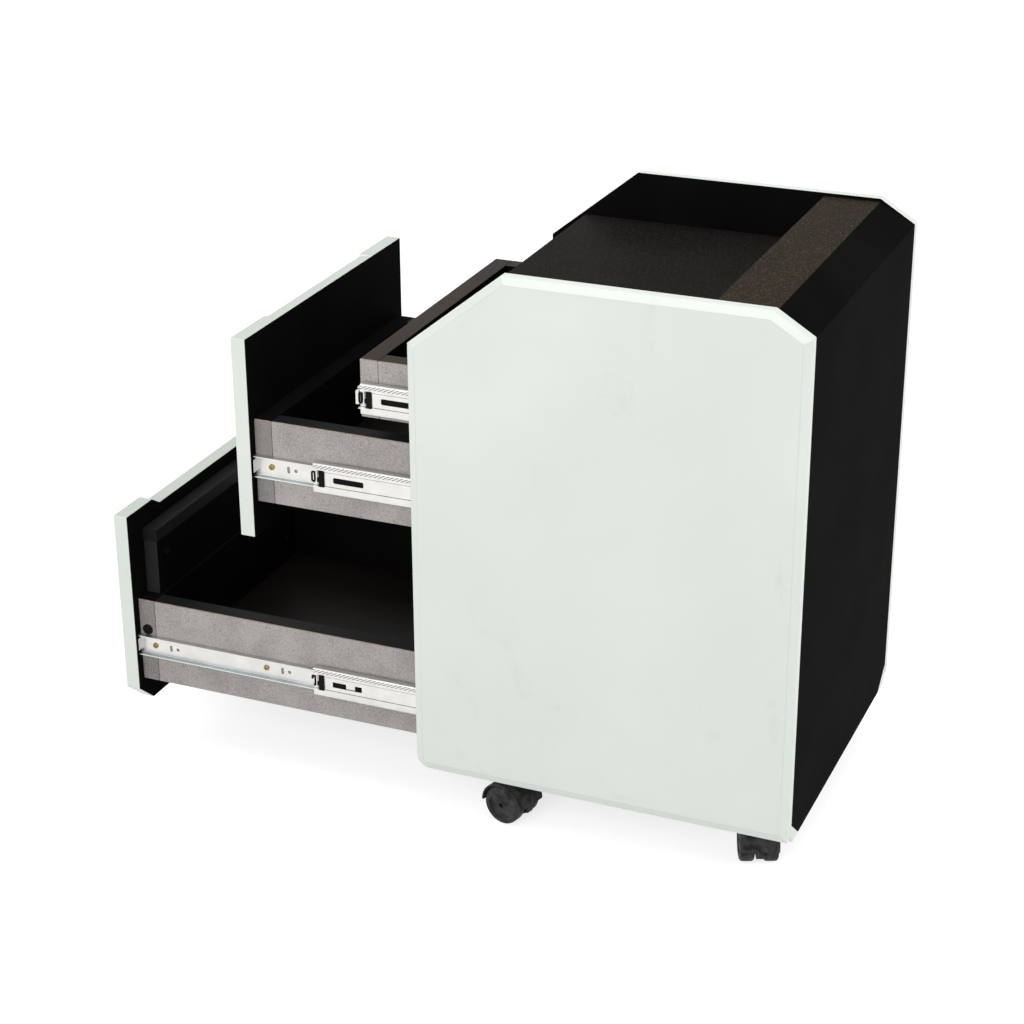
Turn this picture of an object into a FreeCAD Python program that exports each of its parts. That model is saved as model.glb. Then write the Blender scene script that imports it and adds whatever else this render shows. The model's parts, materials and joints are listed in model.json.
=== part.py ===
import FreeCAD, Part
import math
import os
from FreeCAD import Vector

# Mobile drawer pedestal: a file drawer, a box drawer and a pencil drawer on ball-bearing
# slides, between two bevelled side panels, with a sunk top tray, on four twin-wheel castors.
# Millimetres, +Z up. The drawers come out along -Y. The origin is on the floor, midway
# between the side panels, and midway between the file fascia and the back, as photographed.

os.makedirs("parts", exist_ok=True)

# Cabinet
cabinet_width = 440.0
cabinet_depth = 448.0
panel_height = 612.0
panel_thickness = 15.0
board = 18.0
skirt_drop = 9.0
floor_front_gap = 2.0

# Outline of a side panel, and the bevel round its outer face
front_chamfer_y = 110.0
front_chamfer_z = 89.0
rear_chamfer_y = 42.0
rear_chamfer_z = 26.0
front_toe_radius = 17.0
rear_toe_radius = 3.0
bevel_width = 9.0
bevel_depth = 3.0

# Top tray, measured down from the side panels' top edge
strip_drop = 4.0
tray_depth = 55.0
deck_front_y = 43.0
strip_width = 67.0
top_rail_height = 44.0

# Corners cut off the back panel and the file fascia, and the corner rails behind them
corner_cut_x = 31.0
corner_cut_z = 26.0
rail_toe = 7.0

# Fascias
fascia_side_gap = 1.0
fascia_gap = 4.5
file_fascia_top = 247.5
box_fascia_drop = 58.5
notch_half_width = 145.0
notch_run = 17.0
notch_depth = 10.5
grip_half_length = 123.0
grip_bevel_z = 3.0
grip_bevel_y = 9.0

# Drawer boxes
box_length = 400.0
box_wall = 22.0
box_back = 18.0
bottom_thickness = 6.0
bottom_groove = 8.0
bottom_raise = 10.0
groove_clearance = 0.25
file_box_low, file_box_high = 27.0, 135.0
box_box_low, box_box_high = 293.0, 395.0
pencil_box_low, pencil_box_high = 418.5, 487.0
riser_height = 219.0
riser_line_drop = 15.0
riser_line_size = 0.8

# How far each drawer and each pair of slide carriers stands out in the photographed pose
file_out = 398.0
file_carrier_out = 161.0
box_out = 225.0
box_carrier_out = 150.0
pencil_out = 92.5
pencil_carrier_out = 87.0

# Ball-bearing slides, three members deep, in the space beside each box
slide_space = 13.0
slide_length = 400.0
slide_steel = 1.2
slide_start_y = 3.5
file_slide_z = 76.0
box_slide_z = 339.0
pencil_slide_z = 443.5
cabinet_member_height = 45.5
cabinet_member_depth = 10.5
carrier_height = 36.0
carrier_web = 2.6
carrier_depth = 10.5
drawer_member_height = 26.0
drawer_member_tip = 5.7
pencil_tab_reach = 3.0
pencil_front_gap = 4.5
tab_height = 16.0
ball_gap = 0.3
ball_count = 7
ball_pitch = 18.0
cage_steel = 1.0
cage_inset = 12.0

# Windows, holes and the front latch of the slides
latch_length = 9.0
latch_height = 20.0
latch_start = 5.0
latch_fit = 0.2
latch_proud = 1.0
slot_length = 38.0
slot_height = 7.0
slot_starts = (25.0, 160.0, 295.0)
screw_starts = (21.0, 173.0, 325.0)
upright_slot_offset = 20.0
round_hole_offset = 31.0
upright_slot_length = 7.0
spare_hole_radius = 1.7

# Fasteners
screw_radius = 2.0
screw_length = 12.0
screw_head_radius = 3.5
screw_head_height = 1.1
brass_head_height = 1.6
cap_radius = 6.5
cap_thickness = 1.5
cap_above_slide = 20.0
fascia_screw_radius = 2.2
fascia_screw_grip = 12.0
fascia_head_radius = 6.0
fascia_screw_x = 149.0
fascia_screw_low = 46.0
fascia_screw_high = 157.0
box_screw_rise = 51.0
dowel_radius = 4.0
dowel_in_panel = 10.0
dowel_in_board = 20.0

# Castors
castor_inset_x = 47.0
castor_front_y = 86.0
castor_rear_y = 404.0
wheel_radius = 24.0
wheel_width = 17.0
wheel_edge = 3.5
wheel_recess_radius = 16.0
wheel_recess = 1.5
castor_trail = 18.0
castor_headroom = 9.0
castor_web = 9.0
wheel_side_gap = 0.7
hood_gap = 1.2
hood_thickness = 2.4
plate_size = 42.0
plate_thickness = 2.5
plate_hole_pitch = 31.0
king_pin_radius = 4.0
king_pin_length = 24.0
swivel_boss_radius = 8.5
swivel_gap = 0.8
axle_radius = 3.0
running_fit = 0.05
castor_turns = {"front_right": 75.0, "rear_right": 203.0, "front_left": 40.0, "rear_left": 330.0}

# Places that follow from the sizes above
ground_clearance = 2 * wheel_radius + castor_headroom + skirt_drop
strip_height = panel_height - strip_drop
deck_height = strip_height - tray_depth
box_fascia_top = deck_height - box_fascia_drop
half_width = cabinet_width / 2
inner_half = half_width - panel_thickness
skirt_z = -skirt_drop
box_half = inner_half - slide_space
box_inner_half = box_half - box_wall
fascia_half = inner_half - fascia_side_gap
back_face_y = cabinet_depth - board
strip_rear_y = cabinet_depth - rear_chamfer_y
strip_front_y = strip_rear_y - strip_width
box_fascia_low = file_fascia_top + fascia_gap
origin_shift = Vector(0, (file_out - cabinet_depth) / 2, ground_clearance)


def block(x, y, z):
    """A box between the low and high values of each pair."""
    return Part.makeBox(x[1] - x[0], y[1] - y[0], z[1] - z[0], Vector(x[0], y[0], z[0]))


def prism(points, start, travel):
    """A flat outline of (first, second) pairs, placed by start, pushed along travel."""
    corners = [start(*p) for p in points]
    return Part.Face(Part.makePolygon(corners + corners[:1])).extrude(travel)


def prism_along_x(points, low, high):
    return prism(points, lambda y, z: Vector(low, y, z), Vector(high - low, 0, 0))


def prism_along_y(points, low, high):
    return prism(points, lambda x, z: Vector(x, low, z), Vector(0, high - low, 0))


def rod(radius, start, direction, length):
    return Part.makeCylinder(radius, length, Vector(*start), Vector(*direction))


def mirrored(shape):
    """The same piece on the left-hand side."""
    return shape.mirror(Vector(0, 0, 0), Vector(1, 0, 0))


def pair(shapes):
    """Pieces of the right-hand side, followed by their left-hand copies."""
    return shapes + [mirrored(s) for s in shapes]


def save(node, shapes, out=0.0):
    """Moves a node from its closed place to its photographed place, and writes it."""
    solids = [s for shape in shapes for s in shape.Solids]
    whole = Part.makeCompound(solids) if len(solids) > 1 else solids[0]
    whole = whole.copy()
    whole.translate(origin_shift + Vector(0, -out, 0))
    whole.exportStep("parts/" + node + ".step")


def cut_all(shape, tools):
    for tool in tools:
        shape = shape.cut(tool)
    return shape


# Side panels


def shrunk(points, inset):
    """A convex outline, given anticlockwise, with every edge moved inwards by inset."""
    lines = []
    for (y0, z0), (y1, z1) in zip(points, points[1:] + points[:1]):
        length = math.hypot(y1 - y0, z1 - z0)
        normal = (-(z1 - z0) / length, (y1 - y0) / length)
        lines.append((normal, normal[0] * y0 + normal[1] * z0 + inset))
    corners = []
    for (first, a), (second, b) in zip(lines[-1:] + lines[:-1], lines):
        turn = first[0] * second[1] - first[1] * second[0]
        corners.append(((a * second[1] - b * first[1]) / turn, (b * first[0] - a * second[0]) / turn))
    return corners


def rounded_wire(x, points, radii):
    """A closed outline across X whose corners are arcs of the given radii, or sharp at nought."""
    starts = []
    arcs = []
    for i, radius in enumerate(radii):
        corner = Vector(x, *points[i])
        before = (Vector(x, *points[i - 1]) - corner).normalize()
        after = (Vector(x, *points[(i + 1) % len(points)]) - corner).normalize()
        half_angle = before.getAngle(after) / 2
        reach = radius / math.tan(half_angle)
        middle = (before + after).normalize() * (radius / math.sin(half_angle) - radius)
        starts.append((corner + before * reach, corner + after * reach))
        arcs.append(Part.Arc(starts[i][0], corner + middle, starts[i][1]) if radius else None)
    edges = []
    for i, arc in enumerate(arcs):
        if arc:
            edges.append(arc.toShape())
        edges.append(Part.makeLine(starts[i][1], starts[(i + 1) % len(arcs)][0]))
    return Part.Wire(edges)


def side_panel():
    """The right-hand panel: a flat slab whose outer face has a sloping border all round."""
    outline = [(0, 0), (cabinet_depth, 0),
               (cabinet_depth, panel_height - rear_chamfer_z), (strip_rear_y, panel_height),
               (front_chamfer_y, panel_height), (0, panel_height - front_chamfer_z)]
    slab_face = half_width - bevel_depth
    sharp_elsewhere = [0] * (len(outline) - 1)
    rim = rounded_wire(slab_face, outline, [front_toe_radius] + sharp_elsewhere)
    field_radii = [front_toe_radius - bevel_width] + sharp_elsewhere
    field = rounded_wire(half_width, shrunk(outline, bevel_width), field_radii)
    slab = Part.Face(rim).extrude(Vector(inner_half - slab_face, 0, 0))
    panel = slab.fuse(Part.makeLoft([rim, field], True, True))
    toe_radii = [front_toe_radius, rear_toe_radius] + sharp_elsewhere[1:]
    toes = rounded_wire(inner_half, outline, toe_radii)
    return panel.common(Part.Face(toes).extrude(Vector(panel_thickness, 0, 0))).removeSplitter()


def panel_dowels():
    """Dowels that join the right-hand panel to the boards, drawn from the panel's blind holes."""
    start = inner_half + dowel_in_panel
    length = dowel_in_panel + dowel_in_board
    deck_z = deck_height - board / 2
    back_y = cabinet_depth - board / 2
    strip_y = (strip_front_y + strip_rear_y) / 2
    places = [(deck_front_y + 3 * board, deck_z), (strip_front_y - 2 * board, deck_z),
              (strip_front_y + board / 2, deck_height), (strip_y, strip_height - board / 2),
              (deck_front_y + board / 2, deck_height - board - top_rail_height / 2),
              (back_y, 0.25 * panel_height), (back_y, 0.5 * panel_height), (back_y, 0.75 * panel_height)]
    return [rod(dowel_radius, (start, y, z), (-1, 0, 0), length) for y, z in places]


# Boards of the cabinet


def cut_corner_outline(half, low, high):
    """A board seen from the front, with its two lower corners cut off."""
    return [(-half + corner_cut_x, low), (half - corner_cut_x, low), (half, low + corner_cut_z),
            (half, high), (-half, high), (-half, low + corner_cut_z)]


def bottom_rail():
    """A corner rail that lies behind the cut corners, flush with the bottom board's underside."""
    points = [(inner_half, skirt_z + corner_cut_z), (inner_half, skirt_z + rail_toe),
              (inner_half - rail_toe, skirt_z), (inner_half - corner_cut_x, skirt_z)]
    return prism_along_y(points, board + floor_front_gap, cabinet_depth)


def bottom_board():
    """The floor of the cabinet. Its long edges are bevelled to lie on the corner rails."""
    edge_run = corner_cut_x * board / corner_cut_z
    low = inner_half - corner_cut_x
    high = low + edge_run
    points = [(-low, skirt_z), (low, skirt_z), (high, skirt_z + board), (-high, skirt_z + board)]
    return prism_along_y(points, board + floor_front_gap, back_face_y)


def back_panel():
    top = panel_height - rear_chamfer_z
    return prism_along_y(cut_corner_outline(inner_half, skirt_z, top), back_face_y, cabinet_depth)


def rear_slope_panel():
    """The sloping strip from the top strip down to the back panel, on the panels' rear chamfer."""
    low_z = panel_height - rear_chamfer_z
    slope = (strip_height - low_z) / rear_chamfer_y
    points = [(strip_rear_y, strip_height), (cabinet_depth, low_z), (back_face_y, low_z),
              (strip_rear_y, low_z + slope * (back_face_y - strip_rear_y))]
    return prism_along_x(points, -inner_half, inner_half)


def rear_top_strip():
    y = (strip_front_y, strip_rear_y)
    return block((-inner_half, inner_half), y, (strip_height - board, strip_height))


def strip_riser():
    """The upright board behind the tray. It stands against the deck's rear edge, under the strip."""
    y = (strip_front_y, strip_front_y + board)
    return block((-inner_half, inner_half), y, (deck_height - board, strip_height - board))


def top_deck():
    y = (deck_front_y, strip_front_y)
    return block((-inner_half, inner_half), y, (deck_height - board, deck_height))


def front_top_rail():
    y = (deck_front_y, deck_front_y + board)
    high = deck_height - board
    return block((-inner_half, inner_half), y, (high - top_rail_height, high))


# Fascias


def with_grip_bevel(fascia, top):
    """Slopes the middle of the front top edge, where fingers take hold."""
    wedge = [(0, top - grip_bevel_z), (grip_bevel_y, top), (0, top)]
    return fascia.cut(prism_along_x(wedge, -grip_half_length, grip_half_length))


def file_fascia():
    """The lower fascia: cut lower corners, and a finger notch in its top edge."""
    outline = cut_corner_outline(fascia_half, skirt_z, file_fascia_top)[:4]
    bottom = file_fascia_top - notch_depth
    notch = [(notch_half_width, file_fascia_top), (notch_half_width - notch_run, bottom),
             (notch_run - notch_half_width, bottom), (-notch_half_width, file_fascia_top)]
    rest = cut_corner_outline(fascia_half, skirt_z, file_fascia_top)[4:]
    return prism_along_y(outline + notch + rest, 0, board)


def box_fascia():
    """The upper fascia, which hides the box drawer and the pencil drawer when they are shut."""
    top_of_notch = box_fascia_low + notch_depth
    outline = [(-fascia_half, box_fascia_low), (-notch_half_width, box_fascia_low),
               (notch_run - notch_half_width, top_of_notch), (notch_half_width - notch_run, top_of_notch),
               (notch_half_width, box_fascia_low), (fascia_half, box_fascia_low),
               (fascia_half, box_fascia_top), (-fascia_half, box_fascia_top)]
    return with_grip_bevel(prism_along_y(outline, 0, board), box_fascia_top)


# Drawer boxes, in their closed places


def bottom_sheet(front_y, low, clearance=0.0):
    """The drawer's bottom, let into grooves in the four walls. With a clearance, it is the groove."""
    half = box_inner_half + bottom_groove + clearance
    start = front_y + box_wall - bottom_groove - clearance
    end = front_y + box_length - box_back + bottom_groove + clearance
    z = low + bottom_raise - clearance
    return block((-half, half), (start, end), (z, z + bottom_thickness + 2 * clearance))


def drawer_box(front_y, low, high):
    """Right side, left side, front, back and bottom of one drawer box."""
    groove = bottom_sheet(front_y, low, groove_clearance)
    end_y = front_y + box_length
    side = block((box_inner_half, box_half), (front_y + box_wall, end_y), (low, high)).cut(groove)
    front = block((-box_half, box_half), (front_y, front_y + box_wall), (low, high)).cut(groove)
    back = block((-box_inner_half, box_inner_half), (end_y - box_back, end_y), (low, high)).cut(groove)
    return {"right_side": side, "left_side": mirrored(side), "front_board": front, "back_board": back,
            "bottom": bottom_sheet(front_y, low)}


def riser_board():
    """The taller inner front board of the file drawer, standing on the front wall of its box."""
    points = [(-box_inner_half, file_box_high), (box_inner_half, file_box_high),
              (box_inner_half, riser_height), (-box_inner_half, riser_height)]
    riser = prism_along_y(points, board, 2 * board)
    line_z = riser_height - riser_line_drop
    low, high = line_z - riser_line_size, line_z
    for x in (-box_inner_half, box_inner_half - riser_line_size):
        riser = riser.cut(block((x, x + riser_line_size), (board, 2 * board), (low, high)))
    return riser


# Slides


def channel(web, tip, height):
    """A pressed-steel channel across the slide. The web is at one depth, the flanges reach the other."""
    inside = web + math.copysign(slide_steel, tip - web)
    half = height / 2
    return [(web, half), (tip, half), (tip, half - slide_steel), (inside, half - slide_steel),
            (inside, slide_steel - half), (tip, slide_steel - half), (tip, -half), (web, -half)]


def slide_member(section, level, start):
    """A right-hand member. Depths in the section are measured inwards from the side panel."""
    points = [(inner_half - depth, level + z) for depth, z in section]
    return prism_along_y(points, start, start + slide_length)


def across_web(depth, y, z, size_y, size_z):
    """A rectangular window through a web that stands at this depth."""
    x = inner_half - depth
    through = (x - 2 * slide_steel, x + 2 * slide_steel)
    return block(through, (y, y + size_y), (z - size_z / 2, z + size_z / 2))


def screw_into_side(head_depth, y, level, head_height):
    """A screw that holds a cabinet member to the side panel, seen from the cabinet's inside."""
    x = inner_half - head_depth
    head = rod(screw_head_radius, (x - head_height, y, level), (1, 0, 0), head_height)
    return head.fuse(rod(screw_radius, (x, y, level), (1, 0, 0), screw_length))


def screw_into_box(y, level):
    """A brass screw that holds a drawer member to the box side."""
    x = inner_half - slide_space + slide_steel
    head = rod(screw_head_radius, (x, y, level), (1, 0, 0), brass_head_height)
    return head.fuse(rod(screw_radius, (x, y, level), (-1, 0, 0), screw_length))


def cabinet_member(level):
    start = board + slide_start_y
    section = channel(0, cabinet_member_depth, cabinet_member_height)
    screws = [screw_into_side(slide_steel, start + s, level, screw_head_height) for s in screw_starts]
    return cut_all(slide_member(section, level, start), screws), screws


def carrier(level):
    """The middle member, with a window for its latch and long slots along its web."""
    start = board + slide_start_y
    member = slide_member(channel(carrier_web, carrier_depth, carrier_height), level, start)
    window = across_web(carrier_web, start + latch_start, level, latch_length, latch_height)
    slots = [across_web(carrier_web, start + s, level, slot_length, slot_height) for s in slot_starts]
    return cut_all(member, [window] + slots)


def ball_strip(level, side, low, high, start):
    """A row of balls in its retainer, between a flange at low and a flange at high."""
    middle = (low + high) / 2
    radius = (high - low) / 2 - ball_gap
    near = inner_half - (carrier_web + slide_steel + ball_gap + radius)
    far = near - cage_steel
    x = (near + far) / 2
    z = level + side * middle
    length = (ball_count + 0.5) * ball_pitch
    half_steel = cage_steel / 2
    strip = block((x - radius, x + radius), (start, start + length), (z - half_steel, z + half_steel))
    places = [start + (i + 0.75) * ball_pitch for i in range(ball_count)]
    balls = [Part.makeSphere(radius, Vector(x, y, z)) for y in places]
    return strip.multiFuse(balls)


def ball_cages(level):
    """The carrier's four ball rows, two at its front and two at its rear, and its black front latch."""
    front = board + slide_start_y
    length = (ball_count + 0.5) * ball_pitch
    rear = front + slide_length - cage_inset - length
    carrier_half = carrier_height / 2
    cabinet_half = cabinet_member_height / 2 - slide_steel
    rows = []
    for side in (-1, 1):
        rows.append(ball_strip(level, side, carrier_half, cabinet_half, rear))
        inner = (drawer_member_height / 2, carrier_half - slide_steel)
        rows.append(inner_ball_strip(level, side, *inner, front + latch_start + latch_length + cage_inset))
    return rows + [front_latch(level, front + latch_start)]


def inner_ball_strip(level, side, low, high, start):
    """Like the outer row, but deep enough to run beside the drawer member's flange."""
    strip = ball_strip(level, side, low, high, start)
    radius = (high - low) / 2 - ball_gap
    depth_now = carrier_web + slide_steel + ball_gap + radius + cage_steel / 2
    depth_wanted = (drawer_member_tip + carrier_depth) / 2
    strip.translate(Vector(depth_now - depth_wanted, 0, 0))
    return strip


def front_latch(level, start):
    """A cross-shaped plastic latch in the window at the carrier's front end."""
    x_out = inner_half - carrier_web + latch_proud
    x_in = inner_half - carrier_web - slide_steel - ball_gap
    upright = block((x_in, x_out), (start + 0.25 * latch_length, start + latch_length - latch_fit),
                    (level - latch_height / 2 + latch_fit, level + latch_height / 2 - latch_fit))
    arm = block((x_in, x_out), (start + latch_fit, start + 0.5 * latch_length),
                (level - 0.2 * latch_height, level + 0.05 * latch_height))
    return upright.fuse(arm).removeSplitter()


def drawer_member(level, front_y, tab_reach):
    """The member on the box side, with its screw holes and a bent tab at its front end."""
    start = front_y
    section = channel(slide_space, drawer_member_tip, drawer_member_height)
    screws = [screw_into_box(start + s, level) for s in screw_starts]
    tools = list(screws)
    for s in screw_starts:
        slot_y = start + s + upright_slot_offset
        tools.append(across_web(slide_space, slot_y, level, 2 * spare_hole_radius, upright_slot_length))
        hole = (inner_half - slide_space - slide_steel, start + s + round_hole_offset, level)
        tools.append(rod(spare_hole_radius, hole, (1, 0, 0), 3 * slide_steel))
    member = cut_all(slide_member(section, level, start), tools)
    tab = block((inner_half - slide_space, inner_half - drawer_member_tip),
                (start - tab_reach, start + slide_steel), (level - tab_height / 2, level + tab_height / 2))
    return member.fuse(tab).removeSplitter(), screws


# Screws and caps of the fascias


def fascia_screw(x, z, inner_y):
    """A screw from the box's inside into the fascia, with a round cover cap on its head."""
    cap = rod(fascia_head_radius, (x, inner_y, z), (0, 1, 0), cap_thickness)
    length = inner_y - board + fascia_screw_grip
    return cap.fuse(rod(fascia_screw_radius, (x, inner_y, z), (0, -1, 0), length))


def side_cap():
    """A round cover on the end of the file box's front board, above the slide."""
    middle = (box_half, board + box_wall / 2, file_slide_z + cap_above_slide)
    return rod(cap_radius, middle, (1, 0, 0), cap_thickness)


# Castors, drawn about their own swivel axis: the wheels trail along +X, the floor is at z = 0


plate_top_z = ground_clearance - skirt_drop
plate_low_z = plate_top_z - plate_thickness
wheel_start = castor_web / 2 + wheel_side_gap


def castor_plate():
    """The square fixing plate with the king pin riveted in its middle."""
    half = plate_size / 2
    plate = block((-half, half), (-half, half), (plate_low_z, plate_top_z))
    pin = rod(king_pin_radius, (0, 0, plate_low_z), (0, 0, -1), king_pin_length)
    return plate.fuse(pin)


def plate_screws():
    screws = []
    for x in (-plate_hole_pitch / 2, plate_hole_pitch / 2):
        for y in (-plate_hole_pitch / 2, plate_hole_pitch / 2):
            head = rod(screw_head_radius, (x, y, plate_low_z), (0, 0, -1), screw_head_height)
            screws.append(head.fuse(rod(screw_radius, (x, y, plate_low_z), (0, 0, 1), screw_length)))
    return screws


def castor_housing():
    """The swivelling body: a web between the wheels, a boss on the king pin, and a hood."""
    reach = wheel_radius + hood_gap
    outer = reach + hood_thickness
    half_web = castor_web / 2
    half_hood = wheel_start + wheel_width
    axle_at = (castor_trail, -half_web, wheel_radius)
    web = rod(outer, axle_at, (0, 1, 0), castor_web)
    low_part = block((-2 * outer, 3 * outer), (-outer, outer), (-outer, 0.62 * wheel_radius))
    web = web.cut(low_part)
    hood = rod(outer, (castor_trail, -half_hood, wheel_radius), (0, 1, 0), 2 * half_hood)
    hood = hood.cut(rod(reach, (castor_trail, -half_hood, wheel_radius), (0, 1, 0), 2 * half_hood))
    hood = hood.cut(block((-2 * outer, 3 * outer), (-2 * outer, 2 * outer), (-outer, wheel_radius)))
    boss_top = plate_low_z - swivel_gap
    boss_low = wheel_radius + math.sqrt(reach ** 2 - (castor_trail - swivel_boss_radius) ** 2) - hood_gap
    boss = rod(swivel_boss_radius, (0, 0, boss_low), (0, 0, 1), boss_top - boss_low)
    core_low = plate_low_z - king_pin_length - 2 * hood_thickness
    core = block((-half_web, castor_trail), (-half_web, half_web), (core_low, boss_top - hood_thickness))
    whole = web.multiFuse([hood, boss, core])
    hole_depth = king_pin_length + swivel_gap
    pin_hole = rod(king_pin_radius + running_fit, (0, 0, plate_low_z), (0, 0, -1), hole_depth)
    axle_hole = rod(axle_radius, (castor_trail, -outer, wheel_radius), (0, 1, 0), 2 * outer)
    sweep = rod(wheel_radius + hood_gap, (castor_trail, half_web, wheel_radius), (0, 1, 0), outer)
    other = rod(wheel_radius + hood_gap, (castor_trail, -half_web, wheel_radius), (0, -1, 0), outer)
    return cut_all(whole, [pin_hole, axle_hole, sweep, other]).removeSplitter()


def castor_axle():
    half = wheel_start + wheel_width - 2 * wheel_recess
    return rod(axle_radius, (castor_trail, -half, wheel_radius), (0, 1, 0), 2 * half)


def castor_wheel():
    """One of the twin wheels: a round-edged disc with a shallow dish and a hub hole."""
    wheel = rod(wheel_radius, (castor_trail, wheel_start, wheel_radius), (0, 1, 0), wheel_width)
    rims = [e for e in wheel.Edges if abs(e.Length - 2 * math.pi * wheel_radius) < 0.1]
    wheel = wheel.makeFillet(wheel_edge, rims)
    face_y = wheel_start + wheel_width - wheel_recess
    wheel = wheel.cut(rod(wheel_recess_radius, (castor_trail, face_y, wheel_radius), (0, 1, 0), wheel_recess))
    bore = rod(axle_radius + running_fit, (castor_trail, 0, wheel_radius), (0, 1, 0), 2 * wheel_radius)
    return wheel.cut(bore)


def castor_place(corner):
    """The swivel axis of a castor, in the cabinet's closed coordinates."""
    x = half_width - castor_inset_x
    return Vector(x if corner.endswith("right") else -x,
                  castor_front_y if corner.startswith("front") else castor_rear_y, -ground_clearance)


def at_castor(shapes, corner, turned=True):
    moved = []
    for shape in shapes:
        copy = shape.copy()
        if turned:
            copy.rotate(Vector(0, 0, 0), Vector(0, 0, 1), castor_turns[corner])
        copy.translate(castor_place(corner))
        moved.append(copy)
    return moved


# Assembly and export


def write_cabinet():
    dowels = panel_dowels()
    members = []
    side_screws = []
    for level in (file_slide_z, box_slide_z, pencil_slide_z):
        member, screws = cabinet_member(level)
        members.append(member)
        side_screws += screws
    castor_screws = []
    plates = []
    for corner in castor_turns:
        plates += at_castor([castor_plate()], corner, turned=False)
        castor_screws += at_castor(plate_screws(), corner, turned=False)
    plates = [cut_all(p, castor_screws) for p in plates]
    panel = cut_all(side_panel(), dowels + side_screws)
    save("right_side_panel", [panel])
    save("left_side_panel", [mirrored(panel)])
    rail = bottom_rail()
    rail_tools = [s for s in castor_screws if s.BoundBox.XMax > 0]
    rail = cut_all(rail, rail_tools)
    save("right_bottom_rail", [rail])
    save("left_bottom_rail", [mirrored(rail)])
    save("bottom_board", [cut_all(bottom_board(), castor_screws)])
    all_dowels = pair(dowels)
    for node, board_shape in (("back_panel", back_panel()), ("rear_top_strip", rear_top_strip()),
                              ("strip_riser", strip_riser()), ("top_deck", top_deck()),
                              ("front_top_rail", front_top_rail())):
        save(node, [cut_all(board_shape, all_dowels)])
    save("rear_slope_panel", [rear_slope_panel()])
    save("cabinet_slide_members", pair(members))
    save("cabinet_dowels", all_dowels)
    save("wood_screws", pair(side_screws) + castor_screws)
    save("castor_plates", plates)


def write_carriers():
    for name, level, out in (("file", file_slide_z, file_carrier_out), ("box", box_slide_z, box_carrier_out),
                             ("pencil", pencil_slide_z, pencil_carrier_out)):
        save(name + "_slide_carriers", pair([carrier(level)]), out)
        save(name + "_ball_cages", pair(ball_cages(level)), out)


def write_drawer(name, front_y, low, high, level, out, tab_reach, extra):
    """The box of one drawer with its slide members. extra holds screws that pass through its walls."""
    member, screws = drawer_member(level, front_y, tab_reach)
    screws = pair(screws)
    for piece, shape in drawer_box(front_y, low, high).items():
        save(name + "_" + piece, [cut_all(shape, screws + extra)], out)
    save(name + "_drawer_members", pair([member]), out)
    save(name + "_slide_screws", screws, out)


def write_drawers():
    file_screws = [fascia_screw(x, file_box_low + fascia_screw_low, board + box_wall)
                   for x in (-fascia_screw_x, fascia_screw_x)]
    riser_screws = [fascia_screw(x, file_box_low + fascia_screw_high, 2 * board)
                    for x in (-fascia_screw_x, fascia_screw_x)]
    box_screws = [fascia_screw(x, box_box_low + box_screw_rise, board + box_wall)
                  for x in (-fascia_screw_x, fascia_screw_x)]
    write_drawer("file", board, file_box_low, file_box_high, file_slide_z, file_out, 0, file_screws)
    write_drawer("box", board, box_box_low, box_box_high, box_slide_z, box_out, 0, box_screws)
    write_drawer("pencil", board + pencil_front_gap, pencil_box_low, pencil_box_high, pencil_slide_z,
                 pencil_out, pencil_tab_reach, [])
    save("file_riser_board", [cut_all(riser_board(), riser_screws)], file_out)
    save("file_fascia", [cut_all(file_fascia(), file_screws + riser_screws)], file_out)
    save("file_fascia_screws", file_screws + riser_screws, file_out)
    save("file_side_caps", pair([side_cap()]), file_out)
    save("box_fascia", [cut_all(box_fascia(), box_screws)], box_out)
    save("box_fascia_screws", box_screws, box_out)


def write_castors():
    for corner in castor_turns:
        wheel = castor_wheel()
        twin = wheel.mirror(Vector(0, 0, 0), Vector(0, 1, 0))
        save(corner + "_castor_housing", at_castor([castor_housing()], corner))
        save(corner + "_castor_axle", at_castor([castor_axle()], corner))
        save(corner + "_castor_wheels", at_castor([wheel, twin], corner))


write_cabinet()
write_carriers()
write_drawers()
write_castors()
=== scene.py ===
import json
import math
import bmesh
import bpy
from mathutils import Matrix, Vector


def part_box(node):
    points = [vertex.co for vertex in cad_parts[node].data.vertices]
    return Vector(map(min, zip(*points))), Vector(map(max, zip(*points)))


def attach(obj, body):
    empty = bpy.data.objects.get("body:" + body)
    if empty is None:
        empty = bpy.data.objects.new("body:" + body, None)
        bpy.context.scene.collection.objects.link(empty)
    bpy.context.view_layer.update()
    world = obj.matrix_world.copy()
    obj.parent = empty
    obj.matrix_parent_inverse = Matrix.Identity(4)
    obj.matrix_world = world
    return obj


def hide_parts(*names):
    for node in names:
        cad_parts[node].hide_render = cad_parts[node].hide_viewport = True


# A mobile drawer pedestal with its file, box and pencil drawers open. Each section below makes one
# kind of piece, in metres, at the place that the solid model gives it.
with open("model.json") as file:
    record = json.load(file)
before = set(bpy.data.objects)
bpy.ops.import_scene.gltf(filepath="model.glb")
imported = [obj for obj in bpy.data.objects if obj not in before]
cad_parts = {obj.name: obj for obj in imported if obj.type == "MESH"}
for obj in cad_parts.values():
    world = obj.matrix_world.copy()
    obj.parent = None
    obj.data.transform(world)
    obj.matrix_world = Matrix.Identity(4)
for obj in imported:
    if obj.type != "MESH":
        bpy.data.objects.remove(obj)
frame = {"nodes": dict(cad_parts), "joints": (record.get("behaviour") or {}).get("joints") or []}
bpy.ops.object.select_all(action="DESELECT")
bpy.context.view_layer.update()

# The studio. A pale floor that reads as white to the camera and in reflections, but still takes
# the shadow of what stands on it, and soft light from above, from the right side and from the world.
floor_size = 14.0
white = (1.0, 1.0, 1.0, 1.0)
floor_color = (0.58, 0.58, 0.575, 1.0)
floor_glow = 0.75
world_light = 0.40
world_seen = 1.0


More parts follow.
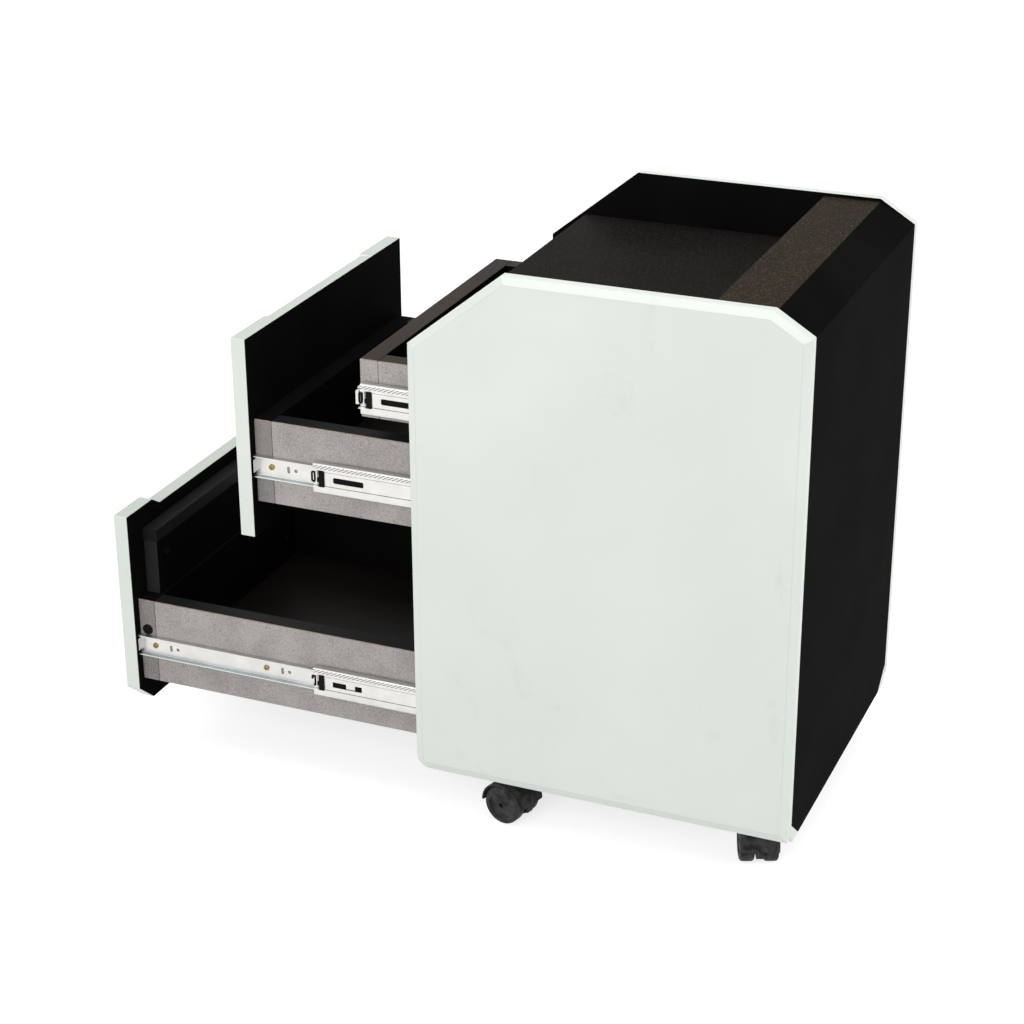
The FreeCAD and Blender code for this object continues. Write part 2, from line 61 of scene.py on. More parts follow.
def add_node(tree, kind, inputs=None, **settings):
    """A shader node with its settings, and values for the inputs that nothing feeds."""
    made = tree.nodes.new(kind)
    for name, value in settings.items():
        setattr(made, name, value)
    for name, value in (inputs or {}).items():
        made.inputs[name].default_value = value
    return made


def new_material(name, inputs):
    """A material with these constants on its shader. Gives the material, its tree and the shader."""
    material = bpy.data.materials.new(name)
    material.use_nodes = True
    tree = material.node_tree
    shader = tree.nodes["Principled BSDF"]
    for key, value in inputs.items():
        shader.inputs[key].default_value = value
    return material, tree, shader


def seen_directly(tree):
    """A mask that is one for camera, glossy and transmission rays."""
    path = add_node(tree, "ShaderNodeLightPath")
    camera_or_glossy = add_node(tree, "ShaderNodeMath", operation="MAXIMUM")
    tree.links.new(path.outputs["Is Camera Ray"], camera_or_glossy.inputs[0])
    tree.links.new(path.outputs["Is Glossy Ray"], camera_or_glossy.inputs[1])
    mask = add_node(tree, "ShaderNodeMath", operation="MAXIMUM")
    tree.links.new(camera_or_glossy.outputs[0], mask.inputs[0])
    tree.links.new(path.outputs["Is Transmission Ray"], mask.inputs[1])
    return mask.outputs[0]


bpy.ops.mesh.primitive_plane_add(size=floor_size)
floor = bpy.context.active_object
floor.name = "studio_floor"
floor_material, tree, shader = new_material("studio_floor", {
    "Base Color": floor_color, "Roughness": 1.0, "Specular IOR Level": 0.0, "Emission Color": white})
glow = add_node(tree, "ShaderNodeMath", operation="MULTIPLY")
glow.inputs[1].default_value = floor_glow
tree.links.new(seen_directly(tree), glow.inputs[0])
tree.links.new(glow.outputs[0], shader.inputs["Emission Strength"])
floor.data.materials.append(floor_material)

world = bpy.data.worlds.new("studio_world")
bpy.context.scene.world = world
world.use_nodes = True
tree = world.node_tree
backdrop = tree.nodes["Background"]
backdrop.inputs["Color"].default_value = white
strength = add_node(tree, "ShaderNodeMapRange", {"To Min": world_light, "To Max": world_seen})
tree.links.new(seen_directly(tree), strength.inputs["Value"])
tree.links.new(strength.outputs["Result"], backdrop.inputs["Strength"])


def add_soft_light(name, place, target, size, power):
    """A square lamp of this size and power that faces the target."""
    bpy.ops.object.light_add(type="AREA", location=place)
    lamp = bpy.context.active_object
    lamp.name = name
    lamp.data.size = size
    lamp.data.energy = power
    lamp.rotation_euler = (Vector(target) - Vector(place)).to_track_quat("-Z", "Y").to_euler()


object_middle = (0.0, 0.0, 0.35)
add_soft_light("lamp_above", (0.0, 0.2, 3.0), object_middle, 2.4, 30.0)
add_soft_light("lamp_right", (3.0, -0.2, 1.5), object_middle, 2.0, 48.0)
add_soft_light("lamp_behind", (0.0, 3.1, 1.5), object_middle, 2.0, 40.0)
add_soft_light("lamp_front", (0.4, -3.0, 1.8), object_middle, 2.0, 20.0)

# The camera stands to the right of the pedestal and a little behind its middle, looking down on it,
# as the photograph was taken.
camera_place = (2.3505, 0.9934, 1.4457)
camera_azimuth = math.radians(112.8)
camera_drop = math.radians(24.1)
camera_roll = math.radians(-0.3)
camera_lens = 81.97
camera_sensor = 36.0
bpy.ops.object.camera_add(location=camera_place)
camera = bpy.context.active_object
turn = Matrix.Rotation(camera_azimuth, 3, "Z") @ Matrix.Rotation(math.pi / 2 - camera_drop, 3, "X")
camera.rotation_euler = (turn @ Matrix.Rotation(camera_roll, 3, "Z")).to_euler()
camera.data.sensor_width = camera_sensor
camera.data.lens = camera_lens
bpy.context.scene.camera = camera
bpy.context.scene.view_settings.view_transform = "Standard"
bpy.ops.object.select_all(action="DESELECT")

# The two side panels. Each is a 15 mm board with pale laminate outside and on its edges and black
# inside. A 9 mm border slopes back all round its outer face. The upper corners are cut, the front
# lower corner is rounded, and the rear lower one only eased. A darker tone on the creases round the
# border is painted shade.
panel_chamfer_front = (0.110, 0.089)
panel_chamfer_rear = (0.042, 0.026)
panel_toe_front = 0.017
panel_toe_rear = 0.003
panel_border = 0.009
panel_border_fall = 0.003
edge_ease = 0.0006
board_smooth = 40.0
# How close to a plane counts as on it, and the cosine past which a face looks that way.
near = 0.001
facing = 0.9
# The lean of the eased faces along the border's creases, which get a darker tone as painted shade.
crease_shade_lean = (0.955, 0.9985)
noise_middle = (0.35, 0.65)
noise_spread = (0.3, 0.7)


def laminate_surface_group():
    """Shared by every laminate: soft patches, and a fine grain that is felt more than seen."""
    group = bpy.data.node_groups.new("laminate_surface", "ShaderNodeTree")
    for name in ("Patch Scale", "Grain Scale"):
        group.interface.new_socket(name, in_out="INPUT", socket_type="NodeSocketFloat")
    for name in ("Patches", "Grain"):
        group.interface.new_socket(name, in_out="OUTPUT", socket_type="NodeSocketFloat")
    given = group.nodes.new("NodeGroupInput")
    result = group.nodes.new("NodeGroupOutput")
    place = add_node(group, "ShaderNodeTexCoord")
    patches = add_node(group, "ShaderNodeTexNoise", {"Detail": 3.0, "Roughness": 0.55})
    grain = add_node(group, "ShaderNodeTexNoise", {"Detail": 2.0, "Roughness": 0.6})
    for texture, name, output in ((patches, "Patch Scale", "Patches"), (grain, "Grain Scale", "Grain")):
        group.links.new(place.outputs["Object"], texture.inputs["Vector"])
        group.links.new(given.outputs[name], texture.inputs["Scale"])
        group.links.new(texture.outputs["Fac"], result.inputs[output])
    return group


laminate_surface = laminate_surface_group()


def add_laminate_surface(tree, patch_scale, grain_scale):
    surface = add_node(tree, "ShaderNodeGroup", node_tree=laminate_surface)
    surface.inputs["Patch Scale"].default_value = patch_scale
    surface.inputs["Grain Scale"].default_value = grain_scale
    return surface


def colors_between(tree, value, stops):
    """A colour ramp of (position, colour) stops, read at the value."""
    ramp = add_node(tree, "ShaderNodeValToRGB")
    elements = ramp.color_ramp.elements
    while len(elements) < len(stops):
        elements.new(0.5)
    for element, (position, color) in zip(elements, stops):
        element.position = position
        element.color = (*color, 1.0)
    tree.links.new(value, ramp.inputs["Fac"])
    return ramp.outputs["Color"]


def tones_between(tree, value, dark, light):
    """Two tones, read at a noise value, with the change between them in the middle of the noise."""
    low, high = noise_middle
    return colors_between(tree, value, ((low, dark), (high, light)))


def vary_roughness(tree, shader, value, low, high):
    """A roughness between two values, as a noise value rises."""
    spread = add_node(tree, "ShaderNodeMapRange", {"From Min": noise_spread[0], "From Max": noise_spread[1],
                                                   "To Min": low, "To Max": high})
    tree.links.new(value, spread.inputs["Value"])
    tree.links.new(spread.outputs["Result"], shader.inputs["Roughness"])


def add_bump(tree, shader, height, distance, strength=1.0):
    bump = add_node(tree, "ShaderNodeBump", {"Strength": strength, "Distance": distance})
    tree.links.new(height, bump.inputs["Height"])
    tree.links.new(bump.outputs["Normal"], shader.inputs["Normal"])


def laminate(name, dark, light, roughness, bump_height, patch_scale=9.0, grain_scale=900.0,
             constants=None):
    """A pressed laminate: two close tones in soft patches, a fine grain in its gloss and its relief."""
    material, tree, shader = new_material(name, constants or {})
    surface = add_laminate_surface(tree, patch_scale, grain_scale)
    tone = tones_between(tree, surface.outputs["Patches"], dark, light)
    tree.links.new(tone, shader.inputs["Base Color"])
    vary_roughness(tree, shader, surface.outputs["Grain"], *roughness)
    add_bump(tree, shader, surface.outputs["Grain"], bump_height)
    return material


smudge_color = (0.60, 0.64, 0.585)
smudge_share = 0.5


def smudged_laminate(name, dark, light):
    """The pale laminate: broad soft patches, and here and there a faint greyish smudge from handling."""
    material, tree, shader = new_material(name, {"Coat Weight": 0.25, "Coat Roughness": 0.12})
    surface = add_laminate_surface(tree, 5.0, 900.0)
    tone = tones_between(tree, surface.outputs["Patches"], dark, light)
    place = add_node(tree, "ShaderNodeTexCoord")
    rubbed = add_node(tree, "ShaderNodeTexNoise", {"Scale": 16.0, "Detail": 6.0, "Roughness": 0.62,
                                                   "Distortion": 0.6})
    tree.links.new(place.outputs["Object"], rubbed.inputs["Vector"])
    smudge = add_node(tree, "ShaderNodeMapRange", {"From Min": 0.62, "From Max": 0.78,
                                                   "To Max": smudge_share})
    tree.links.new(rubbed.outputs["Fac"], smudge.inputs["Value"])
    mixed = add_node(tree, "ShaderNodeMix", data_type="RGBA")
    mixed.inputs["B"].default_value = (*smudge_color, 1.0)
    tree.links.new(smudge.outputs["Result"], mixed.inputs["Factor"])
    tree.links.new(tone, mixed.inputs["A"])
    tree.links.new(mixed.outputs["Result"], shader.inputs["Base Color"])
    vary_roughness(tree, shader, surface.outputs["Grain"], 0.30, 0.42)
    add_bump(tree, shader, surface.outputs["Grain"], 0.00002)
    return material


pale_laminate = smudged_laminate("pale_laminate", (0.695, 0.755, 0.700), (0.745, 0.785, 0.735))
# Painted shade: a darker tone for the eased faces along the creases of the side panels' border.
crease_laminate = laminate("crease_laminate", (0.65, 0.705, 0.66), (0.69, 0.735, 0.69),
                           (0.35, 0.45), 0.00002)
black_laminate = laminate("black_laminate", (0.0040, 0.0038, 0.0037), (0.0062, 0.0059, 0.0057),
                          (0.60, 0.72), 0.00004, constants={"Specular IOR Level": 0.004})


def add_block(name, low, high):
    """A box between two corners. Its object stays at the origin."""
    middle = [(a + b) / 2 for a, b in zip(low, high)]
    bpy.ops.mesh.primitive_cube_add(size=1.0, location=middle)
    piece = bpy.context.active_object
    piece.name = name
    piece.data.name = name
    piece.scale = [b - a for a, b in zip(low, high)]
    bpy.ops.object.transform_apply(location=True, rotation=False, scale=True)
    return piece


def cut_off(place, direction):
    """Cuts the active piece with a plane, and removes what lies on the side the direction points to."""
    bpy.ops.object.mode_set(mode="EDIT")
    bpy.ops.mesh.select_all(action="SELECT")
    bpy.ops.mesh.bisect(plane_co=place, plane_no=direction, use_fill=True, clear_outer=True)
    bpy.ops.object.mode_set(mode="OBJECT")


def select_parts(piece, kind, test):
    """In edit mode, selects the faces, edges or vertices that pass the test, and nothing else."""
    modes = {"faces": "FACE", "edges": "EDGE", "verts": "VERT"}
    bpy.ops.mesh.select_mode(type=modes[kind])
    bpy.ops.mesh.select_all(action="DESELECT")
    mesh = bmesh.from_edit_mesh(piece.data)
    mesh.normal_update()
    for part in getattr(mesh, kind):
        part.select_set(bool(test(part)))
    mesh.select_flush_mode()
    bmesh.update_edit_mesh(piece.data)


def edge_middle(edge):
    return (edge.verts[0].co + edge.verts[1].co) / 2


def edge_reach(edge, axis):
    """How far an edge reaches along an axis: 0 for x, 1 for y, 2 for z."""
    return abs(edge.verts[0].co[axis] - edge.verts[1].co[axis])


def apply_modifier(piece, kind, **settings):
    modifier = piece.modifiers.new(kind.lower(), kind)
    for name, value in settings.items():
        setattr(modifier, name, value)
    bpy.context.view_layer.objects.active = piece
    bpy.ops.object.modifier_apply(modifier=modifier.name)


def ease_edges(piece, width=edge_ease, sharpness=12.0, segments=2):
    """Rounds every edge a little, and smooths the shading across what is rounded. Flat faces stay flat."""
    bpy.ops.object.mode_set(mode="EDIT")
    bpy.ops.mesh.select_mode(type="EDGE")
    bpy.ops.mesh.select_all(action="DESELECT")
    bpy.ops.mesh.edges_select_sharp(sharpness=math.radians(sharpness))
    bpy.ops.mesh.bevel(offset=width, segments=segments, profile=0.5, clamp_overlap=True)
    bpy.ops.object.mode_set(mode="OBJECT")
    bpy.ops.object.shade_smooth_by_angle(angle=math.radians(board_smooth))
    apply_modifier(piece, "WEIGHTED_NORMAL", weight=100, keep_sharp=True)


def paint_faces(piece, material, test):
    """Gives the faces that pass the test a further material."""
    piece.data.materials.append(material)
    index = len(piece.data.materials) - 1
    for face in piece.data.polygons:
        if test(face):
            face.material_index = index


def finish_piece(piece, body, replaced=()):
    """Puts a finished piece on its body, and hides the nodes it stands for."""
    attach(piece, body)
    if replaced:
        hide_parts(*replaced)
    bpy.ops.object.select_all(action="DESELECT")


def side_panel(node, side):
    low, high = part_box(node)
    outer = high.x if side > 0 else low.x
    inner = low.x if side > 0 else high.x
    slab_face = outer - side * panel_border_fall
    piece = add_block(node + "_board", (min(inner, slab_face), low.y, low.z),
                      (max(inner, slab_face), high.y, high.z))
    run, rise = panel_chamfer_front
    cut_off((0.0, low.y + run, high.z), (0.0, -rise, run))
    run, rise = panel_chamfer_rear
    cut_off((0.0, high.y - run, high.z), (0.0, rise, run))
    bpy.ops.object.mode_set(mode="EDIT")
    select_parts(piece, "edges", lambda e: edge_middle(e).y < low.y + near
                 and edge_middle(e).z < low.z + near)
    bpy.ops.mesh.bevel(offset=panel_toe_front, segments=9, profile=0.5)
    select_parts(piece, "faces", lambda f: f.normal.x * side > facing)
    bpy.ops.mesh.inset(thickness=panel_border, depth=panel_border_fall)
    select_parts(piece, "edges", lambda e: edge_middle(e).y > high.y - near
                 and edge_middle(e).z < low.z + near and edge_reach(e, 0) > panel_border_fall + near)
    bpy.ops.mesh.bevel(offset=panel_toe_rear, segments=4, profile=0.5)
    bpy.ops.object.mode_set(mode="OBJECT")
    ease_edges(piece)
    piece.data.materials.append(pale_laminate)
    paint_faces(piece, black_laminate, lambda f: f.normal.x * side < -facing)
    # Painted shade: the creases round the border get the darker tone.
    paint_faces(piece, crease_laminate, lambda f: crease_shade_lean[0] < f.normal.x * side < crease_shade_lean[1])
    finish_piece(piece, "cabinet", [node])


side_panel("right_side_panel", 1)
side_panel("left_side_panel", -1)

# The pale rails along the bottom, inside the side panels. Their sloping lower face is what shows
# below the panels, and they carry the bottom board and the castors.
corner_cut = (0.031, 0.026)
rail_toe = 0.007
rail_ease = 0.0012


def bottom_rail(node, side):
    low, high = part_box(node)
    outer = high.x if side > 0 else low.x
    piece = add_block(node + "_board", low, high)
    run, rise = corner_cut
    cut_off((outer, 0.0, high.z), (-side * rise, 0.0, run))
    cut_off((outer, 0.0, low.z + rail_toe), (side, 0.0, -1.0))
    ease_edges(piece, width=rail_ease, segments=3)
    piece.data.materials.append(pale_laminate)
    finish_piece(piece, "cabinet", [node])


bottom_rail("right_bottom_rail", 1)
bottom_rail("left_bottom_rail", -1)

# The black boards of the cabinet: bottom, back, the sloping strip over the back, the tray's deck,
# the riser behind the tray and the rail under the deck's front. Plain boards with eased edges.
board_ease = 0.0008


def plain_board(node, body, material):
    """A board as large as its solid, with eased edges."""
    piece = add_block(node + "_panel", *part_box(node))
    ease_edges(piece, width=board_ease)
    piece.data.materials.append(material)
    finish_piece(piece, body, [node])
    return piece


def cut_lower_corners(low, high):
    """Cuts the two lower corners of the active board, to the slope of the bottom rails."""
    run, rise = corner_cut
    cut_off((low.x, 0.0, low.z + rise), (-rise, 0.0, -run))
    cut_off((high.x, 0.0, low.z + rise), (rise, 0.0, -run))


def back_board():
    low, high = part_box("back_panel")
    piece = add_block("back_panel_board", low, high)
    cut_lower_corners(low, high)
    ease_edges(piece, width=board_ease)
    piece.data.materials.append(black_laminate)
    finish_piece(piece, "cabinet", ["back_panel"])


def floor_board():
    low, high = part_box("bottom_board")
    piece = add_block("bottom_board_panel", low, high)
    run, rise = corner_cut
    for side, edge in ((-1, low.x), (1, high.x)):
        cut_off((edge, 0.0, high.z), (side * rise, 0.0, -run))
    ease_edges(piece)
    piece.data.materials.append(black_laminate)
    finish_piece(piece, "cabinet", ["bottom_board"])


def slope_board():
    """A sheet that lies on the sloping rear shoulders of the side panels."""
    low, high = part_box("rear_slope_panel")
    back_low, back_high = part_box("back_panel")
    piece = add_block("rear_slope_board", low, high)
    slope = (high.z - back_high.z) / (high.y - low.y)
    cut_off((0.0, high.y, back_high.z), (0.0, slope, 1.0))
    cut_off((0.0, back_low.y, back_high.z), (0.0, -slope, -1.0))
    ease_edges(piece)
    piece.data.materials.append(black_laminate)
    finish_piece(piece, "cabinet", ["rear_slope_panel"])


back_board()
floor_board()
slope_board()
plain_board("strip_riser", "cabinet", black_laminate)
plain_board("front_top_rail", "cabinet", black_laminate)

# The deck of the tray and the flat strip behind it, in a brown-black laminate with a pebbled grain
# that catches the light in fine specks. Their edges and undersides are plain black.
top_lean = 0.5


def pebbled_laminate(name, dark, light, speck, amount, constants):
    material, tree, shader = new_material(name, constants)
    surface = add_laminate_surface(tree, 7.0, 520.0)
    tone = tones_between(tree, surface.outputs["Patches"], dark, light)
    grain = add_node(tree, "ShaderNodeMapRange", {"From Min": 0.52, "From Max": 0.74, "To Max": amount})
    tree.links.new(surface.outputs["Grain"], grain.inputs["Value"])
    mixed = add_node(tree, "ShaderNodeMix", data_type="RGBA")
    mixed.inputs["B"].default_value = (*speck, 1.0)
    tree.links.new(grain.outputs["Result"], mixed.inputs["Factor"])
    tree.links.new(tone, mixed.inputs["A"])
    tree.links.new(mixed.outputs["Result"], shader.inputs["Base Color"])
    vary_roughness(tree, shader, surface.outputs["Grain"], 0.45, 0.65)
    add_bump(tree, shader, surface.outputs["Grain"], 0.00012)
    return material


deck_laminate = pebbled_laminate("deck_laminate", (0.0045, 0.0042, 0.0038), (0.0082, 0.0072, 0.0060),
                                 (0.085, 0.074, 0.062), 0.6, {"Specular IOR Level": 0.015})
strip_laminate = pebbled_laminate("strip_laminate", (0.0125, 0.0092, 0.0056), (0.0190, 0.0138, 0.0086),
                                  (0.135, 0.102, 0.068), 0.75, {"Specular IOR Level": 0.02})
for node, slot, material in (("top_deck", "black_laminate", deck_laminate),
                             ("rear_top_strip", "strip_laminate", strip_laminate)):
    piece = plain_board(node, "cabinet", material)
    paint_faces(piece, black_laminate, lambda f: f.normal.z < top_lean)

# The drawer boxes. Sides and front ends have a speckled light grey foil outside, a little darker on
# the front ends of two drawers. Top edges are black or brown, the insides black, and a thin brown
# line of bare board shows where foil and edging meet.
grey_foil_dark = (0.282, 0.263, 0.256)
grey_foil_light = (0.450, 0.422, 0.412)
grey_speck = (0.13, 0.115, 0.105)
end_foil_dark = (0.185, 0.172, 0.165)
end_foil_light = (0.300, 0.281, 0.270)
specks_per_metre = 240.0
speck_size = 0.14
speck_fade = 1.6
drawer_ease = 0.0009
bare_lean = 0.15


def speckled_foil(name, dark, light):
    """A grey foil of mottled grain, soft cloudy patches and a few small darker specks."""
    material, tree, shader = new_material(name, {"Specular IOR Level": 0.3})
    surface = add_laminate_surface(tree, 24.0, 480.0)
    clouds = add_node(tree, "ShaderNodeMath", operation="MULTIPLY_ADD", inputs={1: 0.35, 2: 0.0})
    tree.links.new(surface.outputs["Patches"], clouds.inputs[0])
    mottle = add_node(tree, "ShaderNodeMath", operation="MULTIPLY_ADD", inputs={1: 0.65})
    tree.links.new(surface.outputs["Grain"], mottle.inputs[0])
    tree.links.new(clouds.outputs[0], mottle.inputs[2])
    tone = colors_between(tree, mottle.outputs[0], ((0.38, dark), (0.62, light)))
    place = add_node(tree, "ShaderNodeTexCoord")
    cells = add_node(tree, "ShaderNodeTexVoronoi", {"Scale": specks_per_metre, "Randomness": 1.0})
    tree.links.new(place.outputs["Object"], cells.inputs["Vector"])
    speck = add_node(tree, "ShaderNodeMapRange", {"From Min": speck_size,
                                                  "From Max": speck_size * speck_fade,
                                                  "To Min": 1.0, "To Max": 0.0})
    tree.links.new(cells.outputs["Distance"], speck.inputs["Value"])
    rare = add_node(tree, "ShaderNodeTexNoise", {"Scale": 120.0, "Detail": 1.0})
    tree.links.new(place.outputs["Object"], rare.inputs["Vector"])
    gate = add_node(tree, "ShaderNodeMapRange", {"From Min": 0.56, "From Max": 0.62})
    tree.links.new(rare.outputs["Fac"], gate.inputs["Value"])
    mask = add_node(tree, "ShaderNodeMath", operation="MULTIPLY")
    tree.links.new(speck.outputs["Result"], mask.inputs[0])
    tree.links.new(gate.outputs["Result"], mask.inputs[1])
    mixed = add_node(tree, "ShaderNodeMix", data_type="RGBA")
    mixed.inputs["B"].default_value = (*grey_speck, 1.0)
    tree.links.new(mask.outputs[0], mixed.inputs["Factor"])
    tree.links.new(tone, mixed.inputs["A"])
    tree.links.new(mixed.outputs["Result"], shader.inputs["Base Color"])
    vary_roughness(tree, shader, surface.outputs["Grain"], 0.5, 0.62)
    add_bump(tree, shader, surface.outputs["Grain"], 0.00006)
    return material


grey_laminate = speckled_foil("grey_laminate", grey_foil_dark, grey_foil_light)
end_foil = speckled_foil("grey_end_foil", end_foil_dark, end_foil_light)
drawer_edging = laminate("drawer_edging", (0.0075, 0.0075, 0.0080), (0.0115, 0.0115, 0.0120),
                         (0.45, 0.6), 0.00004, constants={"Specular IOR Level": 0.08})
pencil_edging = laminate("pencil_edging", (0.020, 0.0145, 0.0105), (0.031, 0.0225, 0.0165),
                         (0.45, 0.6), 0.00004, constants={"Specular IOR Level": 0.08})
bare_board = laminate("bare_board", (0.26, 0.20, 0.145), (0.38, 0.30, 0.22), (0.6, 0.8), 0.0001,
                      patch_scale=160.0)
drawer_bottom_foil = laminate("drawer_bottom_foil", (0.0050, 0.0042, 0.0034), (0.0095, 0.0072, 0.0052),
                              (0.34, 0.46), 0.00003, patch_scale=4.0,
                              constants={"Specular IOR Level": 0.08})


def foiled_board(node, body, foil, edging, outward):
    """A board with foil where it faces outward, edging on top, and bare board in the eased edge between."""
    piece = add_block(node + "_panel", *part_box(node))
    ease_edges(piece, width=drawer_ease)
    piece.data.materials.append(black_laminate)
    paint_faces(piece, foil, lambda f: outward(f) > facing)
    paint_faces(piece, edging, lambda f: f.normal.z > facing)
    paint_faces(piece, bare_board, lambda f: f.normal.z > bare_lean and outward(f) > bare_lean)
    finish_piece(piece, body, [node])


for name, edging, front_edging, front_end in (("file", drawer_edging, black_laminate, end_foil),
                                              ("box", drawer_edging, black_laminate, end_foil),
                                              ("pencil", pencil_edging, pencil_edging, grey_laminate)):
    body = name + "_drawer"
    foiled_board(name + "_right_side", body, grey_laminate, edging, lambda f: f.normal.x)
    foiled_board(name + "_left_side", body, grey_laminate, edging, lambda f: -f.normal.x)
    foiled_board(name + "_front_board", body, front_end, front_edging, lambda f: abs(f.normal.x))
    plain_board(name + "_back_board", body, edging)
    plain_board(name + "_bottom", body, drawer_bottom_foil)

# The taller board inside the file drawer's front. A black plastic capping that folders can hang on
# is pushed over its top edge.
capping_drop = 0.015
capping_wall = 0.0009
riser_end = laminate("riser_end", (0.017, 0.017, 0.018), (0.024, 0.024, 0.025), (0.4, 0.5), 0.00004,
                     constants={"Specular IOR Level": 0.1})


def riser_with_capping():
    low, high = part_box("file_riser_board")
    piece = add_block("file_riser_panel", low, high)
    ease_edges(piece, width=board_ease)
    piece.data.materials.append(black_laminate)
    paint_faces(piece, riser_end, lambda f: abs(f.normal.x) > facing)
    finish_piece(piece, "file_drawer", ["file_riser_board"])
    cap = add_block("file_riser_capping", (low.x - capping_wall, low.y, high.z - capping_drop),
                    (high.x + capping_wall, high.y + capping_wall, high.z + capping_wall))
    ease_edges(cap, segments=3)
    cap.data.materials.append(drawer_edging)
    finish_piece(cap, "file_drawer")


riser_with_capping()

# The two fascias. Pale laminate on the front and round the edges, black on the back, and on top a
# darker tone that is painted shade. A shallow notch for the fingers runs along the edge where the
# two meet, and the upper fascia has a low step along its top.
notch_top_half = 0.145
notch_bottom_half = 0.128
notch_depth = 0.0105
grip_half = 0.123
grip_ramp = 0.0015
grip_fall = 0.003
fascia_ease = 0.0010
# Painted shade: a darker tone of the pale laminate for the fascias' top faces.
fascia_top_laminate = laminate("fascia_top_laminate", (0.565, 0.615, 0.560), (0.605, 0.650, 0.600),
                               (0.35, 0.45), 0.00002)


def split_across(outer, inner):
    """Cuts four new edges right round the active piece, at these distances to both sides of its middle."""
    bpy.ops.object.mode_set(mode="EDIT")
    for x in (-outer, -inner, inner, outer):
        bpy.ops.mesh.select_all(action="SELECT")
        bpy.ops.mesh.bisect(plane_co=(x, 0.0, 0.0), plane_no=(1.0, 0.0, 0.0))
    bpy.ops.object.mode_set(mode="OBJECT")


def move_corners(piece, test, step):
    """Moves the vertices that pass the test."""
    bpy.ops.object.mode_set(mode="EDIT")
    select_parts(piece, "verts", test)
    bpy.ops.transform.translate(value=step)
    bpy.ops.object.mode_set(mode="OBJECT")


def finger_notch(piece, edge, step):
    """Moves the middle of the lower or upper edge by the step, with a slope at each end."""
    split_across(notch_top_half, notch_bottom_half)
    move_corners(piece, lambda v: abs(v.co.x) < notch_bottom_half + near and abs(v.co.z - edge) < near,
                 (0.0, 0.0, step))


def finish_fascia(piece, node, body):
    ease_edges(piece, width=fascia_ease, segments=3)
    piece.data.materials.append(pale_laminate)
    paint_faces(piece, black_laminate, lambda f: f.normal.y > facing)
    # Painted shade: the top faces get the darker tone.
    paint_faces(piece, fascia_top_laminate, lambda f: f.normal.z > facing)
    finish_piece(piece, body, [node])


def file_front():
    low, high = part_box("file_fascia")
    piece = add_block("file_fascia_board", low, high)
    cut_lower_corners(low, high)
    finger_notch(piece, high.z, -notch_depth)
    finish_fascia(piece, "file_fascia", "file_drawer")


def box_drawer_front():
    low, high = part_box("box_fascia")
    piece = add_block("box_fascia_board", low, high)
    finger_notch(piece, low.z, notch_depth)
    split_across(grip_half + grip_ramp, grip_half)
    move_corners(piece, lambda v: abs(v.co.x) < grip_half + grip_ramp / 2 and v.co.z > high.z - near
                 and v.co.y < low.y + near, (0.0, 0.0, -grip_fall))
    finish_fascia(piece, "box_fascia", "box_drawer")


file_front()
box_drawer_front()

# The ball-bearing slides, pressed from zinc-plated steel strip. The cabinet member, the middle
# member and the drawer member are channels with rounded folds, the middle one with a sunk web, a
# window for its latch and long slots. Slanted marks of the rollers run along its upper flange.
steel = 0.0012
fold_radius = 0.0016
steel_smooth = 35.0
cabinet_member_half = 0.02275
flange_depth_outer = 0.0105
flange_depth_middle = 0.0079
flange_depth_drawer = 0.0073
web_sink = 0.0005
web_band_half = 0.0082
web_step = 0.0007
marked_band = (0.0118, 0.0164)
mark_pitch = 0.0056
mark_slant = -1.8
cutter_half = 0.004
latch_window = (0.005, 0.009, 0.020)
loop_notch = (0.0035, 0.0142)
loop_rise = 0.001
window_corner = 0.0008
slot_size = (0.038, 0.007)
slot_starts = (0.025, 0.160, 0.295)
slot_corner = 0.0018
stepped_slot = ((0.0, 0.0, 0.0175, 0.0070), (0.016, -0.0028, 0.015, 0.0012), (0.029, 0.0, 0.009, 0.0070))
step_corner = 0.0005
screw_starts = (0.021, 0.173, 0.325)
upright_slot = (0.020, 0.0034, 0.0080)
upright_corner = 0.0012
round_hole = (0.031, 0.0021)
hole_zone = 0.005
tab_half = 0.008
tab_ease = 0.0005
lip_lean = 0.5
lip_drop = 0.004
sides = ((1, "right"), (-1, "left"))


def zinc_plate(name, dark, light, roughness):
    """Plated steel strip, drawn along its length: the fine lines run along Y."""
    material, tree, shader = new_material(name, {"Metallic": 1.0})
    place = add_node(tree, "ShaderNodeTexCoord")
    stretch = add_node(tree, "ShaderNodeMapping")
    stretch.inputs["Scale"].default_value = (520.0, 14.0, 520.0)
    tree.links.new(place.outputs["Object"], stretch.inputs["Vector"])
    drawn = add_node(tree, "ShaderNodeTexNoise", {"Scale": 1.0, "Detail": 2.0})
    tree.links.new(stretch.outputs["Vector"], drawn.inputs["Vector"])
    surface = add_laminate_surface(tree, 60.0, 700.0)
    tone = colors_between(tree, surface.outputs["Patches"], ((0.3, dark), (0.7, light)))
    tree.links.new(tone, shader.inputs["Base Color"])
    vary_roughness(tree, shader, drawn.outputs["Fac"], *roughness)
    add_bump(tree, shader, drawn.outputs["Fac"], 0.00003, 0.6)
    return material


